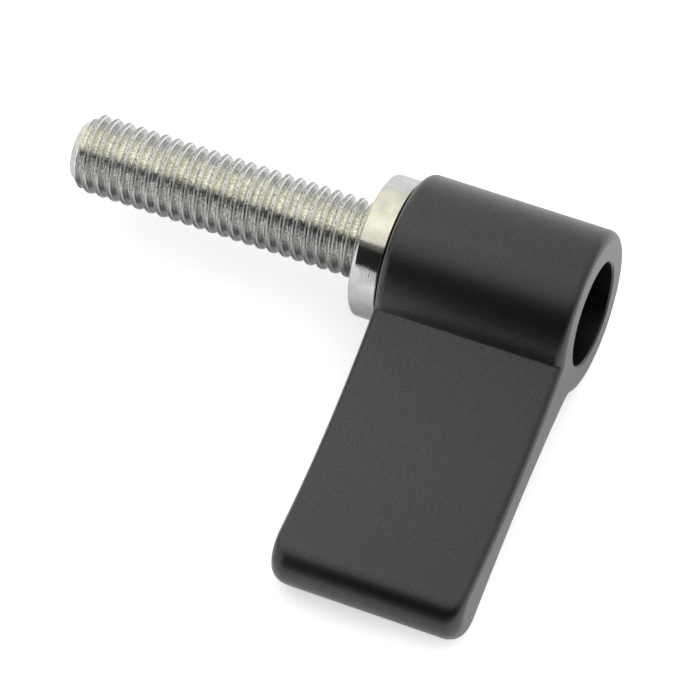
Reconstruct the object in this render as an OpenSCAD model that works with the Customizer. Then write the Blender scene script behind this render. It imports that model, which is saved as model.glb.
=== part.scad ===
// Indexing thumb screw: a threaded stud with a collar, and a one-sided cast lever that lifts
// off the stud's serration against a spring, turns to a new place and drops back.
// X runs along the stud, out through the lever's hub. The origin is the centre of the
// collar's clamping face. It lies as it comes to rest: hub and lever tip on the ground,
// with Z up and the lever pointing to -Y.

/* [Stud] */
// Nominal thread diameter of the stud
thread_d = 6; // [5:0.5:8]
// Length of the threaded shank, from the collar's clamping face to the tip
thread_len = 24; // [12:1:40]
// Length of the cone that leads the thread in at the tip
lead_in_len = 1; // [0.5:0.1:1.5]
// Diameter of the flat end of the tip
tip_d = 4.3; // [3:0.1:4.6]
// Diameter of the collar that clamps
collar_d = 11; // [9.5:0.1:12]
// Thickness of the collar
collar_len = 2.1; // [1.5:0.1:4]
// Radius that breaks the collar's clamping edge
collar_edge_r = 0.35; // [0.1:0.05:0.6]

/* [Lever hub] */
// Diameter of the hub, which is also the height at which the lever lies
hub_d = 12.6; // [12:0.1:16]
// Length of the hub and width of the blade
hub_len = 14.9; // [14:0.1:20]
// Diameter of the open bore at the hub's outer end, as a share of the hub's diameter
bore_share = 0.635; // [0.62:0.005:0.66]
// Wall between the serration and the spring, which slides on the stud's neck
web_t = 1; // [0.8:0.1:1.5]
// Fillet around every outer edge of the casting
edge_r = 0.7; // [0.4:0.1:1]

/* [Lever blade] */
// Reach of the lever, from the hub's axis to the end of its tip
reach = 26.7; // [22:0.2:40]
// How much shorter the tip is at its underside than at the thumb face
tip_lean = 0.3; // [0:0.1:1]
// Height above the hub's axis at which the thumb face leaves the hub
face_neck_z = 1.7; // [1:0.1:2.5]
// Depth of the thumb face at the tip, below the hub's axis
face_tip_drop = 1.5; // [1:0.1:2.2]
// Depth by which the thumb face is dished
face_dish = 0.9; // [0.3:0.05:1.2]
// Depth of the underside at the neck, below the hub's axis
under_neck_drop = 3.5; // [3:0.1:4.2]
// Steepness of the underside's fall to the tip: 1 is straight, more is arched
under_arch = 1.8; // [1.4:0.1:2.4]
// Radius of the hollow where the underside flows into the hub
under_blend_r = 1.6; // [1:0.1:4]
// Radius of the tip's edge at the thumb face
tip_face_r = 1.5; // [1.1:0.1:1.9]
// Radius of the tip's edge that lies on the ground
tip_under_r = 1.8; // [1.1:0.1:2]
// Radius of the blade's two corners at the tip
tip_corner_r = 1.4; // [1.1:0.1:3]

/* [Serration] */
// Number of teeth on the stud's serration and in the hub
teeth = 20; // [12:1:24]
// Diameter over the stud's teeth
teeth_d = 8.4; // [8:0.1:9]
// Depth of a tooth
tooth_depth = 0.5; // [0.3:0.05:0.6]
// Width of a tooth's flat top, as a share of the teeth's pitch
tooth_top = 0.28; // [0.2:0.02:0.34]
// Width of a tooth at its foot, as a share of the teeth's pitch
tooth_foot = 0.64; // [0.56:0.02:0.68]
// Length over which the two serrations are engaged
engage_len = 2.1; // [1.5:0.1:2.4]

/* [Spring and screw] */
// Diameter of the stud's neck behind its teeth
neck_d = 5.2; // [4.8:0.1:5.4]
// Wire of the compression spring
wire_d = 0.5; // [0.4:0.05:0.6]
// Number of turns, with both closed ends
coil_turns = 4.5; // [3.5:0.25:4.75]
// Turns of each closed end
closed_turns = 0.75; // [0.5:0.25:1]
// Length of the spring as it is fitted
spring_len = 5; // [4.8:0.1:6]
// Thickness of the retaining screw's head, which guides the bore
head_len = 1.8; // [1.5:0.1:2.2]
// Bevel of the screw's head and of its tip
screw_edge = 0.3; // [0.1:0.05:0.4]
// Thread of the retaining screw
screw_d = 3; // [2.5:0.5:3]
// Length of the retaining screw below its head
screw_len = 5; // [4:0.5:6]
// Width across the flats of the retaining screw's socket
socket_af = 2.5; // [2:0.5:3]
// Depth of the socket
socket_depth = 1.1; // [0.8:0.1:1.3]

/* [Clearances] */
// Parting gap between the collar and the hub, and between the teeth's ends and the web
end_gap = 0.3; // [0.2:0.05:0.5]
// Gap between meshed teeth, over their tips
tooth_gap = 0.1; // [0.05:0.05:0.15]
// Gap between meshed tooth flanks, along the ring
flank_gap = 0.07; // [0.03:0.01:0.1]
// Running gap between the neck and the web, on the radius
neck_gap = 0.05; // [0.02:0.01:0.1]
// Gap around the retaining screw's head in the bore, on the radius
head_gap = 0.2; // [0.1:0.05:0.3]
// Gap around the retaining screw's thread, on the radius
screw_gap = 0.05; // [0.02:0.01:0.1]
// Gap between the touching turns of the spring's closed ends
turn_gap = 0.075; // [0.05:0.025:0.1]

/* [Hidden] */

// Places along X, each from the one before it
hub_in_x = collar_len + end_gap;
teeth_end_x = hub_in_x + engage_len;
web_in_x = teeth_end_x + end_gap;
web_out_x = web_in_x + web_t;
neck_end_x = web_out_x + spring_len;
hub_out_x = hub_in_x + hub_len;

// The screw's head fills the bore, and the spring stands midway between the bore and the neck
bore_d = hub_d * bore_share;
head_d = bore_d - 2 * head_gap;
coil_d = (bore_d + neck_d) / 2;

round_fn = 72; // segments of the bores and the stud
hub_step = 8; // degrees between points round the hub
arc_steps = 6; // steps of each small arc, and of the rolled edges
curve_steps = 10; // steps along the thumb face and the underside
wire_sides = 8; // sides of the spring's wire
turn_steps = 24; // steps of one turn of the spring
past = 1; // how far a cutting shape passes what it cuts

// Turns a shape that stands on Z so that it lies along X, with its own X kept as Y
module along_x(x) {
    translate([x, 0, 0]) rotate([90, 0, 90]) children();
}

// Points of an arc, both ends included
function arc(centre, r, from, to, steps) =
    [for (i = [0:steps]) let (a = from + (to - from) * i / steps) centre + r * [cos(a), sin(a)]];

// How far a quarter round of radius r has drawn back at a distance s from its end
function quarter(r, s) = s >= r ? 0 : r - sqrt(r * r - (r - s) * (r - s));

// Side view of the lever for a given reach, as Y and Z points in anticlockwise order:
// round the hub, along the dished thumb face, round the tip, and back under the blade
function lever_side(reach) =
    let (
        hub_r = hub_d / 2,
        // Hollow under the neck: a disc that touches the hub and the underside
        hollow_z = -under_neck_drop - under_blend_r,
        hollow_y = -sqrt(pow(hub_r + under_blend_r, 2) - hollow_z * hollow_z),
        hollow_a = atan2(-hollow_z, -hollow_y),
        // Thumb face, from the hub to the tip
        crease_a = 180 - asin(face_neck_z / hub_r),
        face_a = hub_r * [cos(crease_a), sin(crease_a)],
        face_b = [tip_face_r - reach, -face_tip_drop],
        face_c = face_b - [0, tip_face_r],
        // Underside, level at the neck and falling ever more steeply to the tip
        tip_c = [tip_under_r + tip_lean - reach, tip_under_r - hub_r],
        tip_a = atan(under_arch * (hub_r - under_neck_drop) / (hollow_y - tip_c[0])),
        under_b = tip_c + tip_under_r * [sin(tip_a), -cos(tip_a)],
        // Direction that the end face looks in, along the line that touches both edges' discs
        end_way = face_c - tip_c,
        end_a = 90 + atan2(end_way[1], end_way[0])
            - asin((tip_under_r - tip_face_r) / norm(end_way)),
        under_run = hollow_y - under_b[0],
        under_fall = -under_neck_drop - under_b[1]
    )
    concat(
        arc([0, 0], hub_r, 180 + hollow_a, 360 + crease_a, round((180 + crease_a - hollow_a) / hub_step)),
        [for (i = [1:curve_steps - 1])
            let (t = i / curve_steps)
            face_a + (face_b - face_a) * t - [0, face_dish * 4 * t * (1 - t)]],
        arc(face_c, tip_face_r, 90, end_a, arc_steps),
        arc(tip_c, tip_under_r, end_a, 270 + tip_a, arc_steps),
        [for (i = [curve_steps - 1:-1:1])
            let (t = i / curve_steps)
            [hollow_y - under_run * t, -under_neck_drop - under_fall * pow(t, under_arch)]],
        // The hollow ends one step short of the hub's first point
        arc([hollow_y, hollow_z], under_blend_r, 90, hollow_a + (90 - hollow_a) / arc_steps, arc_steps - 1)
    );

// The same outline drawn in by d, each corner along its mitre
function drawn_in(points, d) =
    let (
        count = len(points),
        normals = [for (i = [0:count - 1])
            let (way = points[(i + 1) % count] - points[i])
            [way[1], -way[0]] / norm(way)]
    )
    [for (i = [0:count - 1])
        let (a = normals[(i + count - 1) % count], b = normals[i])
        points[i] - (a + b) * d / (1 + a * b)];

// Outline of the ring of straight-sided teeth in angle order, swelled over the tips and flanks
function toothed(tip_gap, side_gap) =
    let (
        outer_r = teeth_d / 2,
        step = 360 / teeth,
        widen = side_gap / outer_r * 180 / PI,
        top_a = step * tooth_top / 2 + widen,
        foot_a = step * tooth_foot / 2 + widen
    )
    [for (i = [0:teeth - 1], p = [[-foot_a, tooth_depth], [-top_a, 0], [top_a, 0], [foot_a, tooth_depth]])
        let (r = outer_r - p[1] + tip_gap, a = i * step + p[0])
        r * [cos(a), sin(a)]];

// Outside of the casting: the side view carried along X, with its edges and the tip's corners
// rolled off towards both ends
module lever_blank() {
    depths = [for (i = [0:arc_steps]) tip_corner_r * (1 - cos(90 * i / arc_steps))];
    sections = concat(
        [for (s = depths) [hub_in_x + s, s]],
        [for (i = [arc_steps:-1:0]) [hub_out_x - depths[i], depths[i]]]
    );
    rings = [for (c = sections)
        let (edge = quarter(edge_r, c[1]), corner = quarter(tip_corner_r, c[1]))
        [for (p = drawn_in(lever_side(reach + edge - corner), edge)) [c[0], p[0], p[1]]]];
    last = len(rings) - 1;
    count = len(rings[0]);
    skin = [for (j = [0:last - 1], i = [0:count - 1])
        let (k = (i + 1) % count)
        [j * count + i, j * count + k, (j + 1) * count + k, (j + 1) * count + i]];
    polyhedron(
        [for (ring = rings, p = ring) p],
        concat(
            [[for (i = [0:count - 1]) i]],
            [for (q = skin) [q[3], q[2], q[1], q[0]]],
            [[for (i = [count - 1:-1:0]) last * count + i]]
        )
    );
}

module lever() {
    color("#2b2b2c") difference() {
        lever_blank();
        // Serrated pocket at the inner end
        along_x(hub_in_x - past) linear_extrude(web_in_x - hub_in_x + past)
            polygon(toothed(tooth_gap, flank_gap));
        // Hole in the web that runs on the neck
        along_x(web_in_x - past) cylinder(h = web_t + 2 * past, r = neck_d / 2 + neck_gap, $fn = round_fn);
        // Bore for the spring and the retaining screw
        along_x(web_out_x) cylinder(h = hub_out_x - web_out_x + past, d = bore_d, $fn = round_fn);
    }
}

module stud() {
    shank_r = thread_d / 2;
    collar_r = collar_d / 2;
    color("#c9cac2") difference() {
        union() {
            // Shank with its lead-in cone, collar with its broken edge, and neck
            along_x(0) rotate_extrude($fn = round_fn)
                polygon(concat(
                    [[0, -thread_len], [tip_d / 2, -thread_len], [shank_r, lead_in_len - thread_len], [shank_r, 0]],
                    arc([collar_r - collar_edge_r, collar_edge_r], collar_edge_r, -90, 0, arc_steps),
                    [[collar_r, collar_len], [neck_d / 2, collar_len], [neck_d / 2, neck_end_x], [0, neck_end_x]]
                ));
            // Serration that turns with the hub
            along_x(collar_len - end_gap) linear_extrude(teeth_end_x - collar_len + end_gap)
                polygon(toothed(0, 0));
        }
        // Tapped hole for the retaining screw
        along_x(neck_end_x - screw_len - end_gap)
            cylinder(h = screw_len + end_gap + past, r = screw_d / 2 + screw_gap, $fn = round_fn);
    }
}

// Compression spring between the web and the screw's head, with closed ends
module spring() {
    wire_r = wire_d / 2;
    closed_pitch = wire_d + turn_gap;
    run = spring_len - wire_d;
    open_pitch = (run - 2 * closed_turns * closed_pitch) / (coil_turns - 2 * closed_turns);
    function lift_at(turn) =
        closed_pitch * min(turn, closed_turns)
        + open_pitch * max(0, min(turn, coil_turns - closed_turns) - closed_turns)
        + closed_pitch * max(0, turn - coil_turns + closed_turns);
    steps = floor(coil_turns * turn_steps);
    ring = [for (k = [0:wire_sides - 1]) (k + 0.5) * 360 / wire_sides];
    points = [for (i = [0:steps], w = ring)
        let (turn = i / turn_steps, a = turn * 360, out = coil_d / 2 + wire_r * cos(w))
        [web_out_x + wire_r + lift_at(turn) + wire_r * sin(w), out * cos(a), out * sin(a)]];
    skin = [for (i = [0:steps - 1], k = [0:wire_sides - 1])
        let (n = (k + 1) % wire_sides, here = i * wire_sides, next = here + wire_sides)
        [here + k, here + n, next + n, next + k]];
    color("#b8b9b4") polyhedron(
        points,
        concat(
            [[for (k = [wire_sides - 1:-1:0]) k]],
            skin,
            [[for (k = [0:wire_sides - 1]) steps * wire_sides + k]]
        )
    );
}

module retaining_screw() {
    screw_r = screw_d / 2;
    head_r = head_d / 2;
    color("#8e908c") difference() {
        along_x(neck_end_x) rotate_extrude($fn = round_fn)
            polygon([
                [0, -screw_len], [screw_r - screw_edge, -screw_len],
                [screw_r, screw_edge - screw_len], [screw_r, 0],
                [head_r, 0], [head_r, head_len - screw_edge],
                [head_r - screw_edge, head_len], [0, head_len]
            ]);
        along_x(neck_end_x + head_len - socket_depth)
            cylinder(h = socket_depth + past, d = socket_af / cos(30), $fn = 6);
    }
}

stud();
lever();
spring();
retaining_screw();
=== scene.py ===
import math

import bpy
import numpy as np
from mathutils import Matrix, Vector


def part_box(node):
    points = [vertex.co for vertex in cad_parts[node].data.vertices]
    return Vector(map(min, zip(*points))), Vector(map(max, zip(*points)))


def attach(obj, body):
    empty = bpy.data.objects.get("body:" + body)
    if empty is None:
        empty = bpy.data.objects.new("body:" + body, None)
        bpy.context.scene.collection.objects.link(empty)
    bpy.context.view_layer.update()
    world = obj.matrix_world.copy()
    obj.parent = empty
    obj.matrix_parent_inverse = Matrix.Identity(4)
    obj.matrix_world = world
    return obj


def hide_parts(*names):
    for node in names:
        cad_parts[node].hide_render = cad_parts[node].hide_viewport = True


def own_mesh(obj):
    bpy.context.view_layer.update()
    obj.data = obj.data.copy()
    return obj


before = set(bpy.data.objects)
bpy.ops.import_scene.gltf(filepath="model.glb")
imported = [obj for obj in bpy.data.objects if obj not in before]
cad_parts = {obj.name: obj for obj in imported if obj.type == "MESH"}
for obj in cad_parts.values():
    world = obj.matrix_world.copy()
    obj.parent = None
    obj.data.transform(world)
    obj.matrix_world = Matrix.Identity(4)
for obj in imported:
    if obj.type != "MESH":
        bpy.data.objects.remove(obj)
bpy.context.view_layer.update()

# Stud
# One turned steel part: a rolled M6 thread, the collar that clamps, the serration that the hub
# drops onto, and the neck that carries the spring. Bright zinc plate, with painted warm light in yellow
# patches along the top.
thread_r, root_r, pitch = 3.0, 2.38, 1.0
thread_len, lead_in, tip_r = 24.0, 1.0, 2.15
crest_half, flank_fall, thread_turn = 0.15, 2.2, 0.025
collar_r, collar_len, collar_edge, collar_back = 5.5, 2.24, 0.35, 0.12
teeth, teeth_r, tooth_depth, teeth_bevel = 20, 4.2, 0.5, 0.15
tooth_top, tooth_foot = 0.28, 0.64
teeth_end, neck_r, neck_end = 4.5, 2.6, 10.8
hole_r, hole_len = 1.55, 5.3
columns, rings_per_mm = 160, 20
# The yellow on the next line is painted warm light along the plate's top
zinc_white, warm_light_yellow = (0.72, 0.722, 0.705, 1), (0.765, 0.74, 0.585, 1)
# The white on the next line is a painted highlight beside each crest
pit_grey, highlight_white = (0.2, 0.195, 0.175, 1), (0.95, 0.96, 0.97, 1)
highlight_at, highlight_core, highlight_edge = 0.17, 0.018, 0.055
column_a = np.arange(columns) * 2 * math.pi / columns


def arc(centre, radius, start, end, steps):
    """Points on a circle, centre + radius (cos a, sin a), a in radians from start to end."""
    a = np.linspace(start, end, steps + 1)
    return np.array(centre) + radius * np.stack([np.cos(a), np.sin(a)], axis=-1)


def ring_points(x, radius, angles):
    """Points round the X axis, in mm. Ring i stands at x[i] and reaches radius[i, u] in the
    direction of angles[u], from +Y towards +Z: x, radius cos a, radius sin a."""
    return np.stack([
        np.broadcast_to(x[:, None], radius.shape), radius * np.cos(angles), radius * np.sin(angles)
    ], axis=-1).reshape(-1, 3)


def grid_faces(index):
    """Four-sided faces between the neighbouring rings of a grid of point numbers. Each ring closes
    on itself."""
    beside = np.roll(index, -1, axis=1)
    return np.stack([index[:-1], beside[:-1], beside[1:], index[1:]], axis=-1).reshape(-1, 4)


def smooth_piece(name, points, faces, sharp_deg=50):
    """A mesh object from points in mm, smooth but for the edges that turn by more than sharp_deg."""
    mesh = bpy.data.meshes.new(name)
    mesh.from_pydata(np.asarray(points) * 0.001, [], faces)
    mesh.shade_smooth()
    mesh.set_sharp_from_angle(angle=math.radians(sharp_deg))
    piece = bpy.data.objects.new(name, mesh)
    bpy.context.scene.collection.objects.link(piece)
    return piece


def turned(name, x, radius, sharp_deg):
    """A closed skin round the X axis, one ring of points for each x, in the directions of column_a.
    A point on the axis closes each end."""
    rings, round_ = radius.shape
    ends = np.array([[x[0], 0, 0], [x[-1], 0, 0]], float)
    here = np.arange(rings * round_).reshape(rings, round_)
    beside = np.roll(here, -1, axis=1)
    first, last = rings * round_, rings * round_ + 1
    caps = np.concatenate([
        np.stack([np.full(round_, first), beside[0], here[0]], axis=-1),
        np.stack([np.full(round_, last), here[-1], beside[-1]], axis=-1),
    ])
    points = np.concatenate([ring_points(x, radius, column_a), ends])
    return smooth_piece(name, points, grid_faces(here).tolist() + caps.tolist(), sharp_deg)


def thread_radius(x, a):
    """Radius of the rolled thread. The share of a turn past the crest, x / pitch - a / (2 pi) less
    thread_turn, runs through a trapezoid: flat crest, flank that falls by flank_fall for each 1
    along, narrower root. A bell-shaped moving average rounds it, so that the crests are fat."""
    steps, blur = 400, 26.0
    along = np.arange(steps) / steps
    away = np.minimum(along, 1 - along) * pitch
    wave = np.clip(thread_r - (away - crest_half) * flank_fall, root_r, thread_r)
    window = np.exp(-((np.arange(steps) - steps / 2) / blur) ** 2)
    window = np.roll(window / window.sum(), steps // 2)
    wave = np.real(np.fft.ifft(np.fft.fft(wave) * np.fft.fft(window)))
    turn = (x / pitch - a / (2 * math.pi) - thread_turn) % 1
    return np.interp(turn, np.append(along, 1), np.append(wave, wave[0]))


def toothed(outer_r, depth, painted_light_top, foot, a):
    """Radius of a ring of straight-sided teeth: full at the top's width, which is a share of the
    teeth's pitch, and falling by depth to the foot's width."""
    off = np.abs((a * teeth / (2 * math.pi) + 0.5) % 1 - 0.5) * 2
    return outer_r - depth * np.clip((off - painted_light_top) / (foot - painted_light_top), 0, 1)


# The first ring lies on the end face, a little inside its rim, and keeps that rim crisp
rim_step = 0.1
shank_x = np.append(-thread_len, np.linspace(-thread_len, 0, int(thread_len * rings_per_mm) + 1))
shank_r = thread_radius(shank_x[:, None], column_a[None, :])
cone_r = tip_r + (shank_x + thread_len) / lead_in * (thread_r - tip_r)
shank_r = np.minimum(shank_r, cone_r[:, None])
shank_r[0] -= rim_step
edge_step = 0.02
collar_line = np.concatenate([
    arc((collar_edge, collar_r - collar_edge), collar_edge, math.pi, math.pi / 2, 8),
    [(collar_edge + edge_step, collar_r), (collar_len - collar_back - edge_step, collar_r)],
    arc((collar_len - collar_back, collar_r - collar_back), collar_back, math.pi / 2, 0, 4),
])
teeth_x = np.array([collar_len, teeth_end - teeth_bevel, teeth_end])
teeth_line = toothed(teeth_r, tooth_depth, tooth_top, tooth_foot, column_a)
teeth_line = np.stack([teeth_line, teeth_line, teeth_line - teeth_bevel])
plain_x = np.array([teeth_end, neck_end, neck_end, neck_end - hole_len])
plain_r = np.array([neck_r, neck_r, hole_r, hole_r])
stud = turned(
    "stud_turned",
    np.concatenate([shank_x, collar_line[:, 0], teeth_x, plain_x]),
    np.concatenate([
        shank_r,
        np.repeat(collar_line[:, 1:], columns, axis=1),
        teeth_line,
        np.repeat(plain_r[:, None], columns, axis=1),
    ]),
    sharp_deg=75,
)
# How near each point of the thread is to a crest, from 0 in the root to 1 on top, and which points
# belong to the thread
crest = np.zeros(len(stud.data.vertices), np.float32)
crest[:shank_r.size] = np.clip((shank_r.ravel() - root_r) / (thread_r - root_r), 0, 1)
stud.data.attributes.new("crest", "FLOAT", "POINT").data.foreach_set("value", crest)
rolled_part = (np.arange(len(stud.data.vertices)) < shank_r.size).astype(np.float32)
stud.data.attributes.new("rolled", "FLOAT", "POINT").data.foreach_set("value", rolled_part)


def shader(name):
    """A new material, its node tree and its Principled shader."""
    material = bpy.data.materials.new(name)
    material.use_nodes = True
    return material, material.node_tree, material.node_tree.nodes["Principled BSDF"]


def put(tree, kind, links=(), **settings):
    """A node of that kind. Settings that the node has are set on it; links fill its inputs, each by
    a value or by another node's output."""
    made = tree.nodes.new(kind)
    for setting, value in settings.items():
        setattr(made, setting, value)
    for socket, value in dict(links).items():
        if isinstance(value, bpy.types.NodeSocket):
            tree.links.new(value, made.inputs[socket])
        else:
            made.inputs[socket].default_value = value
    return made


def calc(tree, operation, *values):
    """One step of arithmetic on numbers, by the Math node's name for it."""
    return put(tree, "ShaderNodeMath", dict(enumerate(values)), operation=operation).outputs[0]


def ranged(tree, value, start, end, low, high):
    """The value carried over so that start becomes low and end becomes high, and held past them."""
    return put(tree, "ShaderNodeMapRange", {
        "Value": value, "From Min": start, "From Max": end, "To Min": low, "To Max": high,
    }).outputs[0]


def blended(tree, share, low, high):
    """A number between low, where share is 0, and high, where it is 1."""
    return put(tree, "ShaderNodeMix", {0: share, 2: low, 3: high}).outputs[0]


def coloured(tree, share, low, high):
    """A colour between low, where share is 0, and high, where it is 1."""
    return put(tree, "ShaderNodeMix", {0: share, 6: low, 7: high}, data_type="RGBA").outputs[2]


def by_stops(tree, position, stops):
    """A grey that runs straight from stop to stop, each a position from 0 to 1 and a level."""
    made = put(tree, "ShaderNodeValToRGB", {0: position})
    elements = made.color_ramp.elements
    while len(elements) < len(stops):
        elements.new(0.5)
    for element, (at, level) in zip(elements, stops):
        element.position, element.color = at, (level, level, level, 1)
    return made.outputs[0]


def along_way(tree, way, direction):
    """How far a unit vector points in a direction: their dot product, 1 where they agree."""
    return put(tree, "ShaderNodeVectorMath", {0: way, 1: direction}, operation="DOT_PRODUCT").outputs["Value"]


# Fine grain of a finish: mottling of one grain size over another five times as coarse
grain = bpy.data.node_groups.new("finish_grain", "ShaderNodeTree")
grain.interface.new_socket(name="Vector", in_out="INPUT", socket_type="NodeSocketVector")
grain.interface.new_socket(name="Grains per metre", in_out="INPUT", socket_type="NodeSocketFloat")
grain.interface.new_socket(name="Height", in_out="OUTPUT", socket_type="NodeSocketFloat")
grain.interface.new_socket(name="Mottle", in_out="OUTPUT", socket_type="NodeSocketFloat")
given = grain.nodes.new("NodeGroupInput")
fine = put(grain, "ShaderNodeTexNoise", {
    "Vector": given.outputs["Vector"], "Scale": given.outputs["Grains per metre"],
    "Detail": 3.0, "Roughness": 0.6,
})
fifth = calc(grain, "MULTIPLY", given.outputs["Grains per metre"], 0.2)
coarse = put(grain, "ShaderNodeTexNoise", {
    "Vector": given.outputs["Vector"], "Scale": fifth, "Detail": 2.0, "Roughness": 0.5})
put(grain, "NodeGroupOutput", {
    "Height": calc(grain, "ADD", fine.outputs[0], coarse.outputs[0]), "Mottle": coarse.outputs[0]})


def grained(tree, vector, per_metre):
    """The finish grain placed in a material."""
    return put(tree, "ShaderNodeGroup", {"Vector": vector, "Grains per metre": per_metre}, node_tree=grain)


zinc, tree, steel = shader("zinc_plate")
place = put(tree, "ShaderNodeTexCoord").outputs["Object"]
speckle = grained(tree, place, 9000.0)
mottle = speckle.outputs["Mottle"]
near_crest = put(tree, "ShaderNodeAttribute", attribute_name="crest").outputs["Fac"]
rolled_here = put(tree, "ShaderNodeAttribute", attribute_name="rolled").outputs["Fac"]
on_crest = ranged(tree, near_crest, 0.55, 0.85, 0.0, 1.0)
# The crests, which the die did not touch, are rough with fine dull pits
grit = calc(tree, "SUBTRACT", speckle.outputs["Height"], mottle)
worn = calc(tree, "MULTIPLY", on_crest, ranged(tree, grit, 0.51, 0.56, 0.0, 1.0))
# By the way a point lies from the axis, the plate gets painted warm light in soft yellow patches along
# the top, and painted shade along the back and the underside. The end face is plain
outward = put(tree, "ShaderNodeVectorMath", {0: place, 1: (0, 1, 1)}, operation="MULTIPLY").outputs[0]
from_axis = put(tree, "ShaderNodeVectorMath", {0: outward}, operation="LENGTH").outputs["Value"]
on_round = ranged(tree, from_axis, 0.00215, 0.0023, 0.0, 1.0)
outward = put(tree, "ShaderNodeVectorMath", {0: outward}, operation="NORMALIZE").outputs[0]
painted_light_top = ranged(tree, along_way(tree, outward, (0, -0.122, 0.993)), 0.86, 0.96, 0.0, 1.0)
painted_light_top = calc(tree, "MULTIPLY", painted_light_top, on_round)
warm_light_patches = calc(tree, "MULTIPLY", painted_light_top, mottle)
warm_light = calc(tree, "MULTIPLY", blended(tree, rolled_here, 1.9, 1.0), warm_light_patches)
plate = coloured(tree, warm_light, zinc_white, warm_light_yellow)
under = ranged(tree, along_way(tree, outward, (0, -0.94, -0.342)), -1.0, 1.0, 0.0, 1.0)
under = blended(tree, on_round, 0.5, under)
# Painted shade: the plate is darker along the back and the underside
painted_shade = by_stops(tree, under, [(0.0, 0.8), (0.1, 0.93), (0.13, 1.0), (0.8, 1.0), (0.93, 0.84), (1.0, 0.45)])
# The thread's brightness varies with its grit and is raised by painted light along the top, and its
# crests get painted shade below. Soft smudges lie over the whole stud
shade = calc(tree, "MULTIPLY_ADD", painted_light_top, 0.16, ranged(tree, grit, 0.36, 0.64, 0.53, 1.31))
shade_below = calc(tree, "MULTIPLY_ADD", ranged(tree, under, 0.88, 0.99, 0.0, -0.66), on_crest, 1.0)
shade = blended(tree, rolled_here, 1.0, calc(tree, "MULTIPLY", shade, shade_below))
smudge = put(tree, "ShaderNodeTexNoise", {"Vector": place, "Scale": 800.0, "Detail": 3.0}).outputs[0]
shade = calc(tree, "MULTIPLY", shade, ranged(tree, smudge, 0.35, 0.65, 0.88, 1.06))
plate = put(tree, "ShaderNodeVectorMath", {0: plate, 3: shade}, operation="SCALE").outputs[0]
plate = put(tree, "ShaderNodeVectorMath", {0: plate, 1: painted_shade}, operation="MULTIPLY").outputs[0]
pitted_and_shaded = coloured(tree, worn, plate, pit_grey)
# A fine bright line beside each crest, where the crest meets its outer flank, is a painted highlight.
# It lies a set share of a turn past the crest, and fades on the crests below
split = put(tree, "ShaderNodeSeparateXYZ", {0: place})
about_x = calc(tree, "ARCTAN2", split.outputs["Z"], split.outputs["Y"])
about_x = calc(tree, "MULTIPLY", about_x, -0.5 / math.pi)
phase = calc(tree, "MULTIPLY_ADD", split.outputs["X"], 1000.0 / pitch, about_x)
phase = calc(tree, "ADD", phase, -thread_turn - highlight_at)
phase = calc(tree, "ABSOLUTE", calc(tree, "WRAP", phase, 0.5, -0.5))
painted_highlight = ranged(tree, phase, highlight_core, highlight_edge, 0.95, 0.0)
for mask in (rolled_here, shade_below, on_round):
    painted_highlight = calc(tree, "MULTIPLY", painted_highlight, mask)
tree.links.new(coloured(tree, painted_highlight, pitted_and_shaded, highlight_white), steel.inputs["Base Color"])
gloss = blended(tree, on_crest, blended(tree, rolled_here, 0.1, 0.22), 0.24)
tree.links.new(gloss, steel.inputs["Roughness"])
# The surface waves gently at half a millimetre and is rough at a tenth, most of all on the crests.
# Turning marks run round the collar, so their noise runs along X alone
marks = put(tree, "ShaderNodeTexNoise", {"W": split.outputs["X"], "Scale": 9000.0, "Detail": 4.0},
            noise_dimensions="1D").outputs[0]
marks = calc(tree, "MULTIPLY", marks, calc(tree, "SUBTRACT", 1.0, rolled_here))
rough = calc(tree, "MULTIPLY_ADD", calc(tree, "MULTIPLY_ADD", on_crest, 8.0, 2.0), grit, marks)
relief = calc(tree, "MULTIPLY_ADD", calc(tree, "MULTIPLY_ADD", rolled_here, 11.0, 5.0), mottle, rough)
bump = put(tree, "ShaderNodeBump", {"Height": relief, "Strength": 1.0, "Distance": 0.0000015})
tree.links.new(bump.outputs[0], steel.inputs["Normal"])
steel.inputs["Metallic"].default_value = 1.0
stud.data.materials.append(zinc)
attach(stud, "stud")
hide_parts("stud")

# Lever
# One zinc casting, hub and blade, with a serrated pocket at its inner end and an open bore at its
# outer end. Satin black coating with a fine grain; the dished blade carries the thumb.
hub_r, hub_in, hub_out = 6.3, 2.4, 17.3
web_in, web_out, bore_r, mouth_bevel = 4.8, 5.8, 4.0, 0.14
neck_gap, tooth_gap, tooth_slack, pocket_bevel = 0.05, 0.1, 0.1, 0.12
reach, tip_lean = 26.7, 0.3
face_neck_z, face_tip_drop, face_dish = 1.7, 1.5, 0.9
neck_drop, under_arch, hollow_r = 3.5, 1.8, 1.6
tip_face_r, tip_under_r, tip_corner_r, edge_r = 2.2, 1.8, 1.4, 0.7
crease_r = 0.1
hub_steps, crease_steps, face_steps, tip_steps, edge_steps, chord_steps = 200, 5, 44, 16, 20, 24
coat_black = (0.001, 0.001, 0.001, 1)


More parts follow.
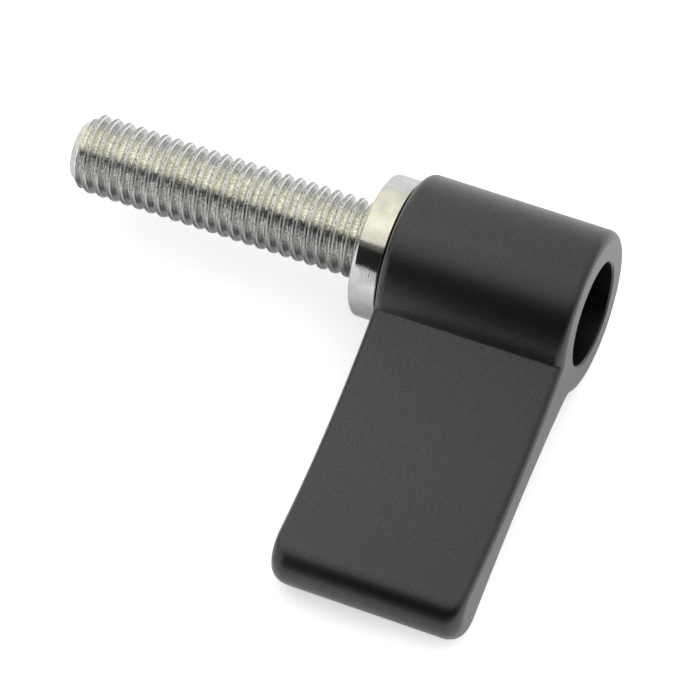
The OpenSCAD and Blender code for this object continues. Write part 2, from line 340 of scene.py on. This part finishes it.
def lever_side(reach):
    """Side view of the lever as (Y, Z) points, anticlockwise: the hub's circle, a small bend at the
    crease, the thumb face as a straight line less a parabola of depth face_dish, the tip's two
    arcs, the underside as a power curve that falls to the tip, and the hollow back to the hub."""
    hollow = np.array([0.0, -neck_drop - hollow_r])
    hollow[0] = -math.sqrt((hub_r + hollow_r) ** 2 - hollow[1] ** 2)
    hollow_a = math.atan2(-hollow[1], -hollow[0])
    crease_a = math.pi - math.asin(face_neck_z / hub_r)
    face_a = hub_r * np.array([math.cos(crease_a), math.sin(crease_a)])
    face_b = np.array([tip_face_r - reach, -face_tip_drop])
    face_c = face_b - [0, tip_face_r]
    tip_c = np.array([tip_under_r + tip_lean - reach, tip_under_r - hub_r])
    tip_a = math.atan(under_arch * (hub_r - neck_drop) / (hollow[0] - tip_c[0]))
    under_b = tip_c + tip_under_r * np.array([math.sin(tip_a), -math.cos(tip_a)])
    way = face_c - tip_c
    lean = math.asin((tip_under_r - tip_face_r) / np.linalg.norm(way))
    end_a = math.pi / 2 + math.atan2(way[1], way[0]) - lean
    hub = arc((0, 0), hub_r, math.pi + hollow_a, 2 * math.pi + crease_a - crease_r / hub_r, hub_steps)
    t = np.linspace(crease_r / np.linalg.norm(face_b - face_a), 1, face_steps + 1)[:, None]
    face = face_a + (face_b - face_a) * t - [0, 1] * (4 * face_dish * t * (1 - t))
    s = np.linspace(0, 1, crease_steps + 2)[1:-1, None]
    crease = hub[-1] * (1 - s) ** 2 + face_a * 2 * s * (1 - s) + face[0] * s ** 2
    tip_face = arc(face_c, tip_face_r, math.pi / 2, end_a, tip_steps)
    tip_under = arc(tip_c, tip_under_r, end_a, 1.5 * math.pi + tip_a, tip_steps)
    t = np.linspace(1, 0, face_steps + 1)[1:, None]
    under = hollow - [0, -hollow_r] + np.array([[-1.0, 0.0]]) * (hollow[0] - under_b[0]) * t
    under = under - np.array([[0.0, 1.0]]) * (-neck_drop - under_b[1]) * t ** under_arch
    back = arc(hollow, hollow_r, math.pi / 2, hollow_a, crease_steps + 1)[1:-1]
    return np.concatenate([hub, crease, face[:-1], tip_face, tip_under, under, back])


def drawn_in(points, d):
    """The same closed outline moved inwards by d, each corner along its mitre."""
    way = np.roll(points, -1, axis=0) - points
    normal = np.stack([way[:, 1], -way[:, 0]], axis=-1) / np.linalg.norm(way, axis=1)[:, None]
    before = np.roll(normal, 1, axis=0)
    return points - (before + normal) * d / (1 + (before * normal).sum(axis=1))[:, None]


def drawn_back(radius, depth):
    """How far a quarter round of that radius has drawn back at a depth from the end."""
    depth = min(depth, radius)
    return radius - math.sqrt(radius ** 2 - (radius - depth) ** 2)


def side_at(x, depth):
    """The lever's outline at x, which lies at that depth from the nearer end: drawn in all round by
    the edge's quarter round, and shorter at the tip by the corner's larger one."""
    edge = drawn_back(edge_r, depth)
    return np.insert(drawn_in(lever_side(reach + edge - drawn_back(tip_corner_r, depth)), edge), 0, x, axis=1)


depths = [tip_corner_r * (1 - math.cos(a)) for a in np.linspace(0, math.pi / 2, edge_steps + 1)]
loops = np.array(
    [side_at(hub_in + d, d) for d in depths] + [side_at(hub_out - d, d) for d in depths[::-1]])
outside = loops.reshape(-1, 3)
index = np.arange(len(outside)).reshape(loops.shape[:2])

# Inside of the hub, from the outer end's bevelled mouth to the serrated pocket. Its columns lie on
# the hub's own radial lines and on those of the chord that closes the hub's circle at the blade
hub_count = hub_steps + 1
chord_share = np.linspace(0, 1, chord_steps + 1)[1:-1, None]


def hub_rim(loop):
    """The hub's circle on an end loop, closed by points along the chord across the blade's root."""
    chord = loop[hub_count - 1] + (loop[0] - loop[hub_count - 1]) * chord_share
    return np.concatenate([loop[:hub_count], chord])


rim_in, rim_out = hub_rim(loops[0]), hub_rim(loops[-1])
spoke_a = np.arctan2(rim_out[:, 2], rim_out[:, 1])
pocket = toothed(
    teeth_r + tooth_gap, tooth_depth, tooth_top + tooth_slack, tooth_foot + tooth_slack, spoke_a)
inner_rings = [
    (hub_out, bore_r + mouth_bevel), (hub_out - mouth_bevel, bore_r),
    (hub_out - mouth_bevel - 2 * edge_step, bore_r), (web_out, bore_r),
    (web_out, neck_r + neck_gap), (web_in, neck_r + neck_gap),
    (web_in, pocket), (hub_in + pocket_bevel, pocket), (hub_in, pocket + pocket_bevel),
]
inner_x = np.array([x for x, _ in inner_rings])
inner_r = np.stack([np.broadcast_to(r, spoke_a.shape) for _, r in inner_rings])
inside = ring_points(inner_x, inner_r, spoke_a)
inner = len(outside) + np.arange(len(inside)).reshape(inner_r.shape)
chords = np.concatenate([rim_out[hub_count:], rim_in[hub_count:]])
chord_out = len(outside) + len(inside) + np.arange(chord_steps - 1)
chord_in = chord_out + chord_steps - 1
faces = grid_faces(index).tolist() + grid_faces(inner).tolist()
# Each end is a flat ring round the hub's mouth and one flat face over the blade
for ring, chord, mouth, turn in (
    (index[-1], chord_out, inner[0], 1), (index[0], chord_in, inner[-1], -1),
):
    wall = np.concatenate([ring[:hub_count], chord])
    flat = np.stack([wall, np.roll(wall, -1), np.roll(mouth, -1), mouth], axis=-1)
    blade = np.concatenate([ring[hub_count - 1:], ring[:1], chord[::-1]])
    faces += flat[:, ::turn].tolist() + [blade[::turn].tolist()]
lever = smooth_piece("lever_casting", np.concatenate([outside, inside, chords]), faces, sharp_deg=30)

coat, tree, black = shader("satin_black_coat")
place = put(tree, "ShaderNodeTexCoord").outputs["Object"]
coat_grain = grained(tree, place, 12000.0)
mottle = coat_grain.outputs["Mottle"]
powder = calc(tree, "SUBTRACT", coat_grain.outputs["Height"], mottle)
# A thin top film varies from grain to grain. It is also stronger towards the inner end, a painted glint that
# makes the reflection brighter there
film_and_glint = ranged(tree, powder, 0.3, 0.7, 0.16, 0.68)
along_hub = put(tree, "ShaderNodeSeparateXYZ", {0: place}).outputs["X"]
film_and_glint = calc(tree, "MULTIPLY", film_and_glint, ranged(tree, along_hub, 0.002, 0.017, 1.32, 0.94))
tree.links.new(film_and_glint, black.inputs["Coat Weight"])
tree.links.new(ranged(tree, mottle, 0.3, 0.7, 0.33, 0.37), black.inputs["Roughness"])
bump = put(tree, "ShaderNodeBump", {"Height": powder, "Strength": 1.0, "Distance": 0.000004})
tree.links.new(bump.outputs[0], black.inputs["Normal"])
for socket, value in {
    "Base Color": coat_black, "IOR": 1.62, "Specular IOR Level": 0.3,
    "Coat Roughness": 0.35, "Coat IOR": 1.7, "Sheen Weight": 0.14, "Sheen Roughness": 0.25,
}.items():
    black.inputs[socket].default_value = value
lever.data.materials.append(coat)
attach(lever, "lever")
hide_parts("lever")

# Spring
# Compression spring of hard-drawn wire between the hub's web and the retaining screw's head. Its
# end turns are closed. The real spring shortens as the lever is lifted off the serration; this one is
# built at one length.
wire_r, coil_r, turns, closed = 0.25, 3.3, 4.5, 0.75
spring_len, turn_gap = 5.0, 0.075
wire_sides, turn_steps = 16, 64
wire_dark, wire_bright = (0.30, 0.30, 0.29, 1), (0.62, 0.61, 0.58, 1)


def coiled(turn):
    """Height of the wire's centre above the web: a low pitch in the closed ends, a steady higher
    one between them, so that all turns together fill the spring's length."""
    low = 2 * wire_r + turn_gap
    high = (spring_len - 2 * wire_r - 2 * closed * low) / (turns - 2 * closed)
    return (low * np.minimum(turn, closed) + high * np.clip(turn - closed, 0, turns - 2 * closed)
            + low * np.maximum(turn - turns + closed, 0))


turn = np.linspace(0, turns, int(turns * turn_steps) + 1)[:, None]
section_a = np.arange(wire_sides) * 2 * math.pi / wire_sides
out = coil_r + wire_r * np.cos(section_a)
wire = np.stack([
    web_out + wire_r + coiled(turn) + wire_r * np.sin(section_a),
    out * np.cos(2 * math.pi * turn), out * np.sin(2 * math.pi * turn),
], axis=-1)
index = np.arange(wire.shape[0] * wire_sides).reshape(-1, wire_sides)
# The sections run round the other way than a turned skin's rings, so the faces are turned over
faces = grid_faces(index)[:, [0, 3, 2, 1]].tolist() + [index[0].tolist(), index[-1][::-1].tolist()]
spring = smooth_piece("spring_coil", wire.reshape(-1, 3), faces)
drawn, tree, wire_steel = shader("drawn_wire")
wire_grain = grained(tree, put(tree, "ShaderNodeTexCoord").outputs["Object"], 9000.0)
colour = coloured(tree, wire_grain.outputs["Mottle"], wire_dark, wire_bright)
tree.links.new(colour, wire_steel.inputs["Base Color"])
dullness = ranged(tree, wire_grain.outputs["Height"], 0.7, 1.3, 0.22, 0.42)
tree.links.new(dullness, wire_steel.inputs["Roughness"])
wire_steel.inputs["Metallic"].default_value = 1.0
spring.data.materials.append(drawn)
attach(spring, "stud")
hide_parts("spring")
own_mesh(spring)

# Retaining screw
# Cap screw with a hexagon socket, driven into the stud's end. Its wide flat head guides the bore
# and holds the spring; dark blackened steel with a mottled gloss.
head_r, head_len, screw_r, screw_len, bevel = 3.8, 1.8, 1.5, 5.0, 0.3
socket_af, socket_depth, socket_bevel = 2.5, 1.1, 0.15
mouth_r, drill_len, drill_r = socket_af / 2 + 0.22, 0.3, 0.1
steel_dark, steel_worn = (0.05, 0.05, 0.05, 1), (0.13, 0.125, 0.12, 1)
hexagon = socket_af / 2 / np.cos((column_a + math.pi / 6) % (math.pi / 3) - math.pi / 6)
head_out = neck_end + head_len
screw_rings = [
    (neck_end - screw_len, screw_r - bevel), (neck_end - screw_len + bevel, screw_r),
    (neck_end, screw_r), (neck_end, head_r), (head_out - bevel, head_r),
    (head_out, head_r - bevel), (head_out, np.maximum(hexagon, mouth_r)),
    (head_out - socket_bevel, hexagon), (head_out - socket_depth, hexagon),
    (head_out - socket_depth - drill_len, drill_r),
]
screw = turned(
    "retaining_cap_screw",
    np.array([x for x, _ in screw_rings]),
    np.stack([np.broadcast_to(r, columns) for _, r in screw_rings]),
    sharp_deg=30,
)
blacked, tree, dark = shader("blackened_steel")
dark_grain = grained(tree, put(tree, "ShaderNodeTexCoord").outputs["Object"], 5000.0)
colour = coloured(tree, dark_grain.outputs["Mottle"], steel_dark, steel_worn)
tree.links.new(colour, dark.inputs["Base Color"])
dullness = ranged(tree, dark_grain.outputs["Height"], 0.7, 1.3, 0.28, 0.5)
tree.links.new(dullness, dark.inputs["Roughness"])
dark.inputs["Metallic"].default_value = 1.0
screw.data.materials.append(blacked)
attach(screw, "stud")
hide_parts("retaining_screw")

# Studio
# Camera at the photograph's angle, a white floor, and the even light of a pale room that is
# bright above and behind the object and has a dark gap in front.
frame_pixels, pixel_lens, pixels_per_mm = 700, 5000.0, 13.414
mark_pixel, mark_x = (224.0, 194.978), -12.3
turn_x, turn_y, roll_x = 0.319, 0.257, math.radians(29.8)
camera_data = bpy.data.cameras.new("camera")
camera_data.sensor_width = 36.0
camera_data.lens = pixel_lens / frame_pixels * 36.0
camera_data.clip_start, camera_data.clip_end = 0.01, 20.0
camera = bpy.data.objects.new("camera", camera_data)
bpy.context.scene.collection.objects.link(camera)
# The stud's axis as the camera sees it, in mm to the right, down and ahead. The point of the axis
# at mark_x shows at mark_pixel, and roll_x turns the part about that axis
axis = np.array([math.cos(turn_y) * math.cos(turn_x), math.cos(turn_y) * math.sin(turn_x), -math.sin(turn_y)])
distance = pixel_lens / pixels_per_mm
start = np.array([*((pixel - frame_pixels / 2) * distance / pixel_lens for pixel in mark_pixel), distance])
towards = -start / np.linalg.norm(start)
normal = towards - (towards @ axis) * axis
normal /= np.linalg.norm(normal)
across = -np.cross(axis, normal)
rows = np.array([
    axis,
    math.cos(roll_x) * across - math.sin(roll_x) * normal,
    math.sin(roll_x) * across + math.cos(roll_x) * normal,
])
eye = rows @ -(start - mark_x * axis) * 0.001
matrix = np.eye(4)
matrix[:3, 0], matrix[:3, 1], matrix[:3, 2], matrix[:3, 3] = rows[:, 0], -rows[:, 1], -rows[:, 2], eye
camera.matrix_world = matrix.T.tolist()
bpy.context.scene.camera = camera


def panel(name, corners):
    """A flat face of the studio with a bare material of its own, and that material's node tree."""
    mesh = bpy.data.meshes.new(name)
    mesh.from_pydata(corners, [], [list(range(len(corners)))])
    made = bpy.data.objects.new(name, mesh)
    bpy.context.scene.collection.objects.link(made)
    material = bpy.data.materials.new(name)
    material.use_nodes = True
    material.node_tree.nodes.clear()
    mesh.materials.append(material)
    return made, material.node_tree


def seen_straight(tree):
    """1 for what the camera sees, straight or through glass, and 0 for all other rays; and the Light
    Path node itself."""
    rays = put(tree, "ShaderNodeLightPath")
    return calc(tree, "MAXIMUM", rays.outputs["Is Camera Ray"], rays.outputs["Is Transmission Ray"]), rays


ground, floor_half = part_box("lever")[0][2], 2
floor, tree = panel("floor", [
    (x * floor_half, y * floor_half, ground) for x, y in ((-1, -1), (1, -1), (1, 1), (-1, 1))])
seen, rays = seen_straight(tree)
# Reflections see the floor's glow a little less bright than the camera does. The glow is stronger on the
# right, a painted pool of light that clears the object's shadow there
way = put(tree, "ShaderNodeSeparateXYZ", {0: put(tree, "ShaderNodeTexCoord").outputs["Object"]})
right = ranged(tree, way.outputs["X"], 0.008, 0.03, 1.0, 1.35)
reflected_glow = ranged(tree, right, 1.1, 1.35, 0.42, 0.9)
mirrored = calc(tree, "MULTIPLY", rays.outputs["Is Glossy Ray"], reflected_glow)
lift = calc(tree, "MULTIPLY", calc(tree, "MAXIMUM", seen, mirrored), right)
lift = calc(tree, "MULTIPLY", lift, 0.58)
matt = put(tree, "ShaderNodeBsdfDiffuse", {"Color": (0.9, 0.9, 0.9, 1)})
white = put(tree, "ShaderNodeEmission", {"Color": (1, 1, 1, 1), "Strength": lift})
summed = put(tree, "ShaderNodeAddShader", {0: matt.outputs[0], 1: white.outputs[0]})
put(tree, "ShaderNodeOutputMaterial", {"Surface": summed.outputs[0]})

# Two cards that stand in front and show in the reflections alone, and so light nothing: painted reflections.
# A white one on the left, with a slanted edge, and a low dark one beside it, where the floor ends, whose
# reflection is painted shade
for name, top_level, foot_level, y, outline in (
    ("white_card", 0.92, 0.92, -0.0446, [
        (-0.16, -0.006), (-0.0057, -0.006), (-0.0091, 0.0155),
        (-0.023, 0.026), (-0.035, 0.035), (-0.16, 0.075),
    ]),
    ("dark_card", 0.012, 0.55, -0.07, [
        (-0.012, -0.006), (0.12, -0.006), (0.12, 0.012), (-0.0145, 0.012),
    ]),
):
    card, tree = panel(name, [(x, y, z) for x, z in outline])
    card.visible_camera = card.visible_diffuse = card.visible_shadow = False
    height = put(tree, "ShaderNodeSeparateXYZ", {0: put(tree, "ShaderNodeTexCoord").outputs["Object"]})
    level = ranged(tree, height.outputs["Z"], -0.006, 0.012, foot_level, top_level)
    shine = put(tree, "ShaderNodeEmission", {"Color": (1, 1, 1, 1), "Strength": level})
    put(tree, "ShaderNodeOutputMaterial", {"Surface": shine.outputs[0]})

# The room's light by the angle about the X axis: 0 behind, 90 overhead, 180 in front. It is weaker
# towards both ends of the axis, and the camera sees it plain white
room_stops = [
    (0, 0.66), (20, 0.66), (32, 0.76), (56, 0.81), (68, 0.85), (80, 0.95), (92, 0.92), (104, 0.8),
    (119.5, 0.68), (121.5, 0.12), (128.5, 0.08), (130.5, 0.015), (155, 0.015), (168, 0.05), (180, 0.12),
]
room = bpy.data.worlds.new("pale_room")
bpy.context.scene.world = room
room.use_nodes = True
tree = room.node_tree
tree.nodes.clear()
way = put(tree, "ShaderNodeSeparateXYZ", {0: put(tree, "ShaderNodeTexCoord").outputs["Generated"]})
about = calc(tree, "ARCTAN2", way.outputs["Z"], way.outputs["Y"])
share = ranged(tree, about, 0.0, math.pi, 0.0, 1.0)
levels = by_stops(tree, share, [(degrees / 180, level) for degrees, level in room_stops])
right = ranged(tree, way.outputs["X"], 0.3, 0.85, 1.0, 0.68)
left = ranged(tree, way.outputs["X"], -0.97, -0.88, 0.2, 1.0)
sides = calc(tree, "MULTIPLY", left, right)
light = put(tree, "ShaderNodeVectorMath", {0: levels, 3: sides}, operation="SCALE").outputs[0]
seen, _ = seen_straight(tree)
glow = put(tree, "ShaderNodeBackground", {
    "Color": coloured(tree, seen, light, (1, 1, 1, 1)), "Strength": ranged(tree, seen, 0.0, 1.0, 1.3, 1.0)})
put(tree, "ShaderNodeOutputWorld", {"Surface": glow.outputs[0]})

bpy.context.scene.view_settings.view_transform = "Standard"
